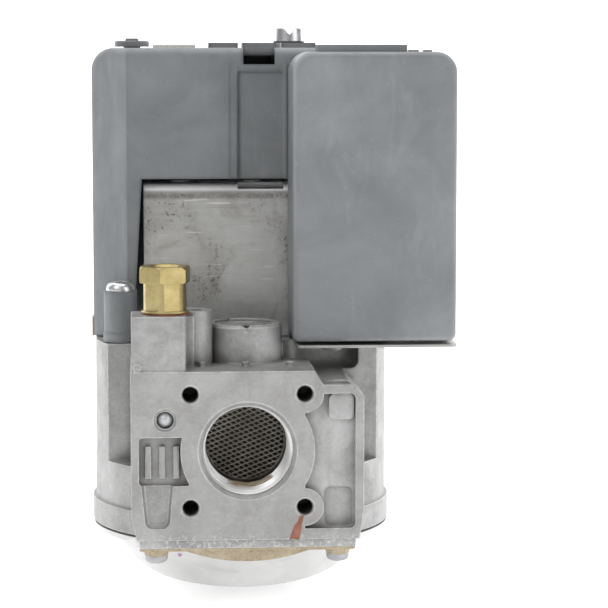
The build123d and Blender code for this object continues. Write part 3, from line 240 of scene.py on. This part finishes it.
def zinc_sheet():
    """Dull zinc-plated sheet: brushed, scratched, stained and spotted, with a painted highlight along its
    bent top edge and paler edges that are partly wear and partly painted highlight.
    """
    g = Graph("zinc_steel", metallic=0.7, roughness=0.42)
    cloud = g.noise(48, 6, 0.62, distortion=0.3)
    tone = g.mix(g.span(cloud, 0.3, 0.7), (0.30, 0.297, 0.285), (0.50, 0.50, 0.49))
    stain = g.noise(90, 4, 0.6, distortion=1.0)
    tone = g.mix(g.span(stain, 0.54, 0.68, 0.0, 0.45), tone, (0.22, 0.205, 0.18))
    brush = g.noise(900, 3, 0.6, stretch=(0.05, 0.05, 1.0))
    tone = g.mix(g.span(brush, 0.35, 0.75, 0.0, 0.20), tone, (0.58, 0.58, 0.57))
    # a dark smudge runs along the sheet just below its bent top edge
    from_line = g.math("ABSOLUTE", g.math("SUBTRACT", g.axis("Z"), FRAME_TOP - 0.0030))
    smudge = g.span(from_line, 0.0004, 0.0011, 1.0, 0.0)
    smudge = g.math("MULTIPLY", smudge, g.span(g.noise(110, 4, 0.7), 0.38, 0.55))
    dirty = g.math("MAXIMUM", g.span(g.noise(60, 2, 0.5), 0.44, 0.58), smudge)
    spots = g.math("MULTIPLY", g.span(g.noise(1000, 4, 0.65), 0.56, 0.64), dirty)
    tone = g.mix(g.math("MULTIPLY", dirty, 0.22), tone, (0.16, 0.15, 0.135))
    tone = g.mix(g.math("MULTIPLY", spots, 0.8), tone, (0.11, 0.10, 0.09))
    scratch = g.noise(1300, 2, 0.5, stretch=(0.06, 1.0, 0.9), distortion=0.4)
    tone = g.mix(g.span(scratch, 0.66, 0.74, 0.0, 0.4), tone, (0.74, 0.74, 0.73))
    tone = g.mix(g.math("MULTIPLY", smudge, 0.55), tone, (0.10, 0.095, 0.085))
    # painted highlight: the bent top edge is made near white and less metallic so it reads bright under the
    # cover's overhang
    painted_bend_highlight = g.span(g.axis("Z"), FRAME_TOP - 0.0018, FRAME_TOP - 0.0010)
    tone = g.mix(painted_bend_highlight, tone, (0.96, 0.96, 0.96))
    g.set("Metallic", g.span(painted_bend_highlight, 0.0, 1.0, 0.7, 0.1))
    # edges painted paler: partly wear, partly painted highlight
    edge = g.edge_mask(0.0003, 3.0)
    g.set("Base Color", g.mix(g.span(edge, 0.15, 0.8, 0.0, 0.6), tone, (0.85, 0.85, 0.84)))
    g.set("Roughness", g.span(cloud, 0.3, 0.7, 0.34, 0.54))
    g.set("Normal", g.bump(brush, 0.18, 0.0001, g.soft_edges(0.0003)))
    return g.material


def plastic(name, dark, light, rough=0.48, grain_strength=0.22, dust=0.22, roundness=0.0004):
    """Moulded plastic: fine spark-eroded grain, cloudy handling marks, paler rounded edges that are partly
    wear and partly painted highlight.
    """
    g = Graph(name, roughness=rough)
    cloud = g.noise(34, 6, 0.62, distortion=0.5)
    tone = g.mix(g.span(cloud, 0.34, 0.66), dark, light)
    pale = tuple(min(1.0, v * 1.45 + 0.03) for v in light)
    rub = g.noise(120, 5, 0.65, stretch=(1.0, 1.0, 0.3), distortion=1.2)
    tone = g.mix(g.span(rub, 0.56, 0.78, 0.0, dust), tone, pale)
    # rounded faces, whose normals lean off the axes, are painted paler: partly wear, partly painted
    # highlight
    lean = g.node("ShaderNodeSeparateXYZ", {0: g.node("ShaderNodeNewGeometry").outputs["Normal"]})
    squareness = g.math("ABSOLUTE", lean.outputs["X"])
    for axis in ("Y", "Z"):
        squareness = g.math("MAXIMUM", squareness, g.math("ABSOLUTE", lean.outputs[axis]))
    tilted = g.span(squareness, 0.75, 0.97, 1.0, 0.0)
    wear_and_highlight = g.math("MULTIPLY", tilted, g.span(rub, 0.35, 0.6, 0.4, 1.0))
    tone = g.mix(g.math("MULTIPLY", wear_and_highlight, 0.45), tone, pale)
    nicks = g.span(g.noise(900, 2, 0.5), 0.70, 0.74, 0.0, 0.25)
    tone = g.mix(nicks, tone, pale)
    # edges painted paler: partly wear, partly painted highlight
    edge = g.edge_mask(0.0004, 3.0)
    g.set("Base Color", g.mix(g.span(edge, 0.12, 0.8, 0.0, 0.55), tone, pale))
    g.set("Roughness", g.span(g.noise(200, 4, 0.6), 0.3, 0.7, rough - 0.07, rough + 0.08))
    g.set("Specular IOR Level", 0.5)
    g.set("Normal", g.bump(g.noise(2300, 2, 0.5), grain_strength, 0.00008, g.soft_edges(roundness)))
    return g.material


def metal(name, dark, light, rough, brushed=0.0, spot=None, spot_amount=0.0, metallic=1.0):
    """Bright or plated metal with cloudy tone, fine scratches and optional specks."""
    g = Graph(name, metallic=metallic, roughness=rough)
    tone = g.mix(g.span(g.noise(120, 4, 0.55), 0.3, 0.7), dark, light)
    if spot:
        tone = g.mix(g.span(g.noise(1900, 2, 0.5), 0.56, 0.68, 0.0, spot_amount), tone, spot)
    # edges painted paler: partly wear, partly painted highlight
    edge = g.edge_mask(0.00025, 3.0)
    pale = tuple(min(1.0, v * 1.25 + 0.05) for v in light)
    g.set("Base Color", g.mix(g.span(edge, 0.15, 0.8, 0.0, 0.6), tone, pale))
    g.set("Roughness", g.span(g.noise(500, 3, 0.6), 0.3, 0.7, max(0.05, rough - 0.08), rough + 0.08))
    fine = g.noise(1500, 2, 0.5, stretch=(1.0, 1.0, 0.12) if brushed else None)
    g.set("Normal", g.bump(fine, 0.12 + brushed, 0.00008, g.soft_edges(0.00025)))
    return g.material


def yellow_zinc():
    """Yellow chromate on zinc: tan with brown and pale specks."""
    g = Graph("yellow_zinc", metallic=0.45, roughness=0.5)
    tone = g.mix(g.span(g.noise(300, 4, 0.6), 0.3, 0.7), (0.34, 0.28, 0.19), (0.48, 0.41, 0.30))
    tone = g.mix(g.span(g.noise(1700, 2, 0.5), 0.58, 0.66, 0.0, 0.6), tone, (0.22, 0.15, 0.09))
    tone = g.mix(g.span(g.noise(1200, 2, 0.5), 0.64, 0.72, 0.0, 0.5), tone, (0.66, 0.63, 0.57))
    g.set("Base Color", tone)
    g.set("Normal", g.bump(g.noise(900, 3, 0.6), 0.25, 0.0001, g.soft_edges(0.0003)))
    return g.material


def rubber():
    """Moulded rubber with a dusty bloom."""
    g = Graph("black_rubber", roughness=0.7)
    bloom = g.span(g.noise(150, 4, 0.6), 0.3, 0.7)
    g.set("Base Color", g.mix(bloom, (0.015, 0.015, 0.015), (0.05, 0.048, 0.045)))
    g.set("Normal", g.bump(g.noise(1800, 2, 0.5), 0.3, 0.0001))
    return g.material


def windings():
    """Enamelled copper wire, turn beside turn."""
    g = Graph("copper_wire", metallic=0.8, roughness=0.3)
    # each turn is painted bright in the middle and dark between turns: painted shading of round wire
    turns = g.waves(900, "Z")
    g.set("Base Color", g.mix(turns, (0.16, 0.05, 0.02), (0.62, 0.26, 0.12)))
    g.set("Normal", g.bump(turns, 0.8, 0.0002))
    return g.material


def board():
    """Green solder resist with lighter tracks."""
    g = Graph("green_board", roughness=0.35)
    bricks = g.node("ShaderNodeTexBrick", {"Vector": g.coord, "Scale": 180.0, "Mortar Size": 0.04})
    tracks = bricks.outputs["Fac"]
    g.set("Base Color", g.mix(tracks, (0.02, 0.13, 0.05), (0.05, 0.24, 0.10)))
    g.set("Normal", g.bump(tracks, 0.3, 0.00005))
    return g.material


def fibre_gasket():
    """Grey-green pressed fibre."""
    g = Graph("gasket", roughness=0.85)
    g.set("Base Color", g.mix(g.noise(1100, 4, 0.7), (0.07, 0.08, 0.07), (0.20, 0.22, 0.20)))
    g.set("Normal", g.bump(g.noise(1400, 3, 0.7), 0.4, 0.0001))
    return g.material


def paint(name, dark, light):
    """Brushed-on marking paint."""
    g = Graph(name, roughness=0.55)
    g.set("Base Color", g.mix(g.span(g.noise(420, 4, 0.6), 0.35, 0.65), dark, light))
    g.set("Normal", g.bump(g.noise(900, 3, 0.6), 0.5, 0.0001))
    return g.material


MATERIALS = {
    "cast_aluminium": cast_aluminium(),
    "polished_aluminium": polished_aluminium(),
    "zinc_steel": zinc_sheet(),
    "bright_steel": metal("bright_steel", (0.50, 0.50, 0.51), (0.68, 0.68, 0.69), 0.33),
    "yellow_zinc": yellow_zinc(),
    "dark_steel": metal("dark_steel", (0.05, 0.045, 0.04), (0.13, 0.12, 0.11), 0.45, metallic=0.8),
    "brass": metal("brass", (0.32, 0.255, 0.105), (0.50, 0.415, 0.21), 0.36, 0.12, (0.24, 0.17, 0.07), 0.38),
    "grey_plastic": plastic("grey_plastic", (0.150, 0.158, 0.165), (0.215, 0.225, 0.235)),
    "dark_plastic": plastic("dark_plastic", (0.018, 0.018, 0.020), (0.035, 0.035, 0.038), 0.42),
    "white_plastic": plastic("white_plastic", (0.55, 0.54, 0.51), (0.66, 0.65, 0.62), 0.45, 0.15),
    "green_board": board(),
    "black_rubber": rubber(),
    "copper_wire": windings(),
    "gasket": fibre_gasket(),
}
# the slot each CAD node has in the record
SLOT_OF = {row["node"]: row["material_slot"] for row in frame["record"]["subparts"]}


def dress(obj, material):
    """Gives obj this one material."""
    obj.data.materials.clear()
    obj.data.materials.append(material)
    return obj


for node_name, cad in NODES.items():
    dress(cad, MATERIALS[SLOT_OF[node_name]])
OWN_MATERIALS = {
    "ball_plug": metal("ball_steel", (0.38, 0.39, 0.40), (0.52, 0.53, 0.54), 0.45, metallic=0.5),
    "bottom_plate_screws": metal("screw_steel", (0.30, 0.30, 0.31), (0.46, 0.46, 0.47), 0.40, metallic=0.8),
    "main_cover": plastic("cover_plastic", (0.112, 0.120, 0.126), (0.178, 0.188, 0.196), roundness=0.002),
}
for node_name, material in OWN_MATERIALS.items():
    dress(NODES[node_name], material)


# ---------------------------------------------------------------- mesh helpers
def mesh_object(name, bm, smooth=True):
    """Turns bm into an object in the scene."""
    data = bpy.data.meshes.new(name)
    bmesh.ops.recalc_face_normals(bm, faces=bm.faces)
    bm.to_mesh(data)
    bm.free()
    for face in data.polygons:
        face.use_smooth = smooth
    made = bpy.data.objects.new(name, data)
    bpy.context.scene.collection.objects.link(made)
    return made


def tube(bm, points, radius, sides=6):
    """A closed tube along points."""
    rings = []
    for i, p in enumerate(points):
        ahead = points[min(i + 1, len(points) - 1)] - points[max(i - 1, 0)]
        along = ahead.normalized()
        side = along.cross(Vector((0, 1, 0)))
        if side.length < 1e-6:
            side = Vector((1, 0, 0))
        side.normalize()
        up = side.cross(along)
        ring = []
        for k in range(sides):
            a = 2 * math.pi * k / sides
            ring.append(bm.verts.new(p + side * (radius * math.cos(a)) + up * (radius * math.sin(a))))
        rings.append(ring)
    for low, high in zip(rings, rings[1:]):
        for k in range(sides):
            bm.faces.new((low[k], low[(k + 1) % sides], high[(k + 1) % sides], high[k]))
    bm.faces.new(rings[0])
    bm.faces.new(list(reversed(rings[-1])))


# ---------------------------------------------------------------- strainer
def strainer():
    """Expanded-metal strainer: slanted strands in two directions, one set standing proud."""
    strand = 0.20 * MM
    rim_radius = 2.5 * strand
    step_x = 2.62 * MM
    step_z = 1.48 * MM
    lie = math.radians(-8)
    centre_y = (SCREEN_LOW.y + SCREEN_HIGH.y) / 2
    reach = (SCREEN_HIGH.x - SCREEN_LOW.x) / 2 - 2 * strand
    bm = bmesh.new()
    lines = int(reach * 2 / step_x) + 12
    for lean in (-1, 1):
        for n in range(-lines, lines + 1):
            run = []
            for k in range(-80, 81):
                t = k * 0.5
                x = (n + t) * step_x / 2
                z = lean * (t - n) * step_z / 2
                if math.hypot(x, z) > reach:
                    continue
                sway = noise.noise(Vector((x, z, n * 0.3)) * 300) * 0.05 * MM
                run.append(Vector((x * math.cos(lie) - z * math.sin(lie), centre_y - lean * strand * 0.45,
                                   x * math.sin(lie) + z * math.cos(lie) + sway)))
            if len(run) > 2:
                tube(bm, run, strand if lean > 0 else strand * 0.8)
    rim = [Vector((reach * math.cos(a), centre_y, reach * math.sin(a)))
           for a in (2 * math.pi * k / 72 for k in range(73))]
    tube(bm, rim, rim_radius)
    made = mesh_object("strainer_weave", bm)
    dress(made, metal("strainer_steel", (0.26, 0.24, 0.21), (0.58, 0.55, 0.49), 0.36, metallic=0.6))
    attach(made, "valve")
    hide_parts("inlet_screen")
    return made


# ---------------------------------------------------------------- pipe threads
THREAD_METAL = metal("cut_thread", (0.62, 0.62, 0.61), (0.86, 0.86, 0.85), 0.38, metallic=0.6)


def port_thread(name, face_y, inward, turns):
    """Thread ridges inside a port, as one helix of triangular section."""
    pitch = 25.4 / 14 * MM
    height = 0.75 * MM
    taper = 1 / 32
    start = 1.9 * MM
    around = 96
    bm = bmesh.new()
    last = None
    total = int(turns * around)
    for k in range(total + 1):
        a = 2 * math.pi * k / around
        fade = min(1.0, k / around, (total - k) / around)
        y = start + pitch * k / around
        crest = PORT_RADIUS + 0.05 * MM - (height + taper * y) * max(fade, 0.02)
        ring = []
        for radius, dy in ((PORT_RADIUS + 0.1 * MM, -0.46 * pitch), (crest, -0.06 * pitch),
                           (crest, 0.06 * pitch), (PORT_RADIUS + 0.1 * MM, 0.46 * pitch)):
            place = Vector((radius * math.cos(a), face_y + inward * (y + dy), radius * math.sin(a)))
            ring.append(bm.verts.new(place))
        if last:
            for i in range(4):
                bm.faces.new((last[i], last[(i + 1) % 4], ring[(i + 1) % 4], ring[i]))
        else:
            bm.faces.new(ring)
        last = ring
    bm.faces.new(list(reversed(last)))
    made = mesh_object(name, bm, smooth=False)
    dress(made, THREAD_METAL)
    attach(made, "valve")
    return made


# ---------------------------------------------------------------- marks
def ragged_patch(name, outline, y, material, thickness=0.04 * MM):
    """A thin patch on a face that looks towards -Y, its edge broken up by noise."""
    bm = bmesh.new()
    edge = []
    for i, (x, z) in enumerate(outline):
        x1, z1 = outline[(i + 1) % len(outline)]
        for k in range(6):
            t = k / 6
            p = Vector((x + (x1 - x) * t, 0, z + (z1 - z) * t))
            wobble = noise.noise_vector(p * 900) * 0.28 * MM
            edge.append((p.x + wobble.x, p.z + wobble.z))
    front = [bm.verts.new((x, y - thickness, z)) for x, z in edge]
    back = [bm.verts.new((x, y + thickness, z)) for x, z in edge]
    bm.faces.new(front)
    bm.faces.new(list(reversed(back)))
    for i in range(len(edge)):
        j = (i + 1) % len(edge)
        bm.faces.new((front[i], front[j], back[j], back[i]))
    made = mesh_object(name, bm, smooth=False)
    dress(made, material)
    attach(made, "valve")
    return made


def paint_mark():
    """Red-brown inspection mark running down from the lower right bolt hole to the edge."""
    x = BOLT_HALF
    z = -BOLT_HALF
    outline = [(x - 1.5 * MM, z - 2.3 * MM), (x - 0.4 * MM, z - 2.5 * MM), (x - 0.9 * MM, z - 5.0 * MM),
               (x - 1.3 * MM, z - 7.0 * MM), (x - 1.7 * MM, FLANGE_FOOT), (x - 4.4 * MM, FLANGE_FOOT),
               (x - 3.5 * MM, z - 6.4 * MM), (x - 2.2 * MM, z - 4.2 * MM)]
    red_brown = paint("mark_paint", (0.17, 0.055, 0.03), (0.31, 0.125, 0.08))
    return ragged_patch("paint_mark", outline, 0.0, red_brown)


def paint_dab():
    """Small violet dab on the bottom cover, beside the plate's left screw."""
    x = -18.8 * MM
    z = -32.6 * MM
    cover = NODES["bottom_cover"]
    _, place, _, _ = cover.ray_cast(Vector((x, -0.05, z)), Vector((0, 1, 0)))
    half = 0.75 * MM
    outline = [(x - half, z), (x, z - half), (x + half, z), (x, z + half)]
    violet = paint("dab_paint", (0.50, 0.18, 0.52), (0.66, 0.32, 0.66))
    return ragged_patch("paint_dab", outline, place.y - 0.05 * MM, violet,
                        thickness=0.25 * MM)


def bore_residue():
    """Dried tan sealant along the bottom of the inlet bore."""
    bm = bmesh.new()
    rows = []
    columns = 40
    depth = 14
    start = 8.5
    length = 8.9
    middle = -84
    half_angle = 48
    for j in range(depth + 1):
        y = (start + length * j / depth) * MM
        row = []
        for i in range(columns + 1):
            u = i / columns * 2 - 1
            v = j / depth * 2 - 1
            a = math.radians(middle + half_angle * u)
            p = Vector((PORT_RADIUS * math.cos(a), y, PORT_RADIUS * math.sin(a)))
            lump = noise.noise(p * 260) + 0.5 * noise.noise(p * 800)
            edge = 1 - max(abs(u), abs(v)) ** 4
            lift = (1.25 + 0.3 * lump) * MM * edge - 0.08 * MM
            r = PORT_RADIUS - lift
            row.append(bm.verts.new((r * math.cos(a), y, r * math.sin(a))))
        rows.append(row)
    for low, high in zip(rows, rows[1:]):
        for i in range(columns):
            bm.faces.new((low[i], low[i + 1], high[i + 1], high[i]))
    made = mesh_object("bore_residue", bm)
    dress(made, paint("residue", (0.42, 0.32, 0.20), (0.74, 0.66, 0.52)))
    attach(made, "valve")
    return made


def sealant_ring():
    """Red thread sealant squeezed out round the foot of the pilot fitting."""
    low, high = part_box("pilot_fitting")
    _, adjust_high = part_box("pilot_adjust_screw")
    seat = adjust_high.z + 1.0 * MM
    ring_radius = 6.25
    cx = (low.x + high.x) / 2
    cy = (low.y + high.y) / 2
    bm = bmesh.new()
    around = 120
    sides = 8
    rings = []
    for k in range(around):
        a = 2 * math.pi * k / around
        d = Vector((math.cos(a), math.sin(a), 0))
        swell = 0.42 + 0.30 * noise.noise(d * 3.1 + Vector((4, 1, 0)))
        ring = []
        for s in range(sides):
            b = 2 * math.pi * s / sides
            r = (ring_radius + swell * math.cos(b)) * MM
            h = (0.12 + 0.62 * swell * math.sin(b)) * MM
            ring.append(bm.verts.new((cx + d.x * r, cy + d.y * r, seat + h)))
        rings.append(ring)
    for k in range(around):
        low_ring = rings[k]
        high_ring = rings[(k + 1) % around]
        for s in range(sides):
            t = (s + 1) % sides
            bm.faces.new((low_ring[s], low_ring[t], high_ring[t], high_ring[s]))
    made = mesh_object("thread_sealant", bm)
    dress(made, paint("sealant", (0.10, 0.035, 0.02), (0.36, 0.08, 0.04)))
    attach(made, "valve")
    return made


strainer()
port_thread("inlet_thread", 0.0, 1, 8.0)
port_thread("outlet_thread", LENGTH, -1, 8.6)
paint_mark()
paint_dab()
bore_residue()
sealant_ring()


# ---------------------------------------------------------------- stage, lights, camera
def backdrop(floor_z):
    """Pale floor that curves up into a wall behind the object."""
    bm = bmesh.new()
    front = -1.6
    back = 1.2
    painted_bend_highlight = 0.8
    steps = 12
    height = 3.0
    half_width = 3.0
    profile = [(front, 0.0), (back, 0.0)]
    for k in range(1, steps + 1):
        a = math.pi / 2 * k / steps
        profile.append((back + painted_bend_highlight * math.sin(a), painted_bend_highlight * (1 - math.cos(a))))
    profile.append((back + painted_bend_highlight, height))
    rows = [[bm.verts.new((x, y, floor_z + z)) for x in (-half_width, half_width)] for y, z in profile]
    for low, high in zip(rows, rows[1:]):
        bm.faces.new((low[0], low[1], high[1], high[0]))
    made = mesh_object("backdrop", bm)
    g = Graph("backdrop", roughness=0.9)
    g.set("Base Color", g.mix(g.span(g.noise(3, 2, 0.5), 0.3, 0.7), (0.90, 0.90, 0.90), (0.92, 0.92, 0.92)))
    g.set("Emission Color", (1.0, 1.0, 1.0, 1.0))
    g.set("Emission Strength", 0.45)
    dress(made, g.material)


def softbox(name, place, target, size, energy):
    """A rectangular area light aimed at target."""
    light = bpy.data.lights.new(name, "AREA")
    light.shape = "RECTANGLE"
    light.size = size[0]
    light.size_y = size[1]
    light.energy = energy
    made = bpy.data.objects.new(name, light)
    bpy.context.scene.collection.objects.link(made)
    made.location = place
    made.rotation_euler = (Vector(target) - Vector(place)).to_track_quat("-Z", "Y").to_euler()


def studio():
    """White surroundings, a key from the left, and softer lights round the object."""
    world = bpy.data.worlds.new("studio")
    bpy.context.scene.world = world
    world.use_nodes = True
    background = world.node_tree.nodes["Background"]
    background.inputs["Color"].default_value = (1.0, 1.0, 1.0, 1.0)
    background.inputs["Strength"].default_value = 0.36
    centre = (0.0, LENGTH / 2, 0.03)
    softbox("key", (-0.55, -0.75, 0.75), centre, (0.7, 0.7), 4.2)
    softbox("fill", (0.75, -0.65, 0.25), centre, (0.5, 0.8), 3.0)
    softbox("top", (0.0, 0.1, 1.0), centre, (0.9, 0.9), 5.0)
    softbox("rim_left", (-0.7, 0.5, 0.3), centre, (0.3, 0.8), 1.3)
    softbox("rim_right", (0.7, 0.5, 0.3), centre, (0.3, 0.8), 3.0)
    softbox("wall", (0.0, 1.0, 1.4), (0.0, 2.0, 0.3), (2.0, 0.8), 26.0)


def camera():
    """Camera a little left of the port's axis and a little above it."""
    azimuth = math.radians(-3.9)
    elevation = math.radians(6.2)
    back = Vector((math.sin(azimuth) * math.cos(elevation), -math.cos(azimuth) * math.cos(elevation),
                   math.sin(elevation)))
    right = Vector((math.cos(azimuth), math.sin(azimuth), 0.0))
    up = back.cross(right)
    data = bpy.data.cameras.new("camera")
    data.sensor_width = 36.0
    data.lens = 138.75
    data.clip_start = 0.05
    made = bpy.data.objects.new("camera", data)
    bpy.context.scene.collection.objects.link(made)
    turn = Matrix((right, up, back)).transposed()
    place = (-0.02813, -0.64136, 0.11082)
    made.matrix_world = Matrix.Translation(place) @ turn.to_4x4()
    bpy.context.scene.camera = made


backdrop(CAD_BOX[0][2])
studio()
camera()
bpy.context.scene.view_settings.view_transform = "Standard"
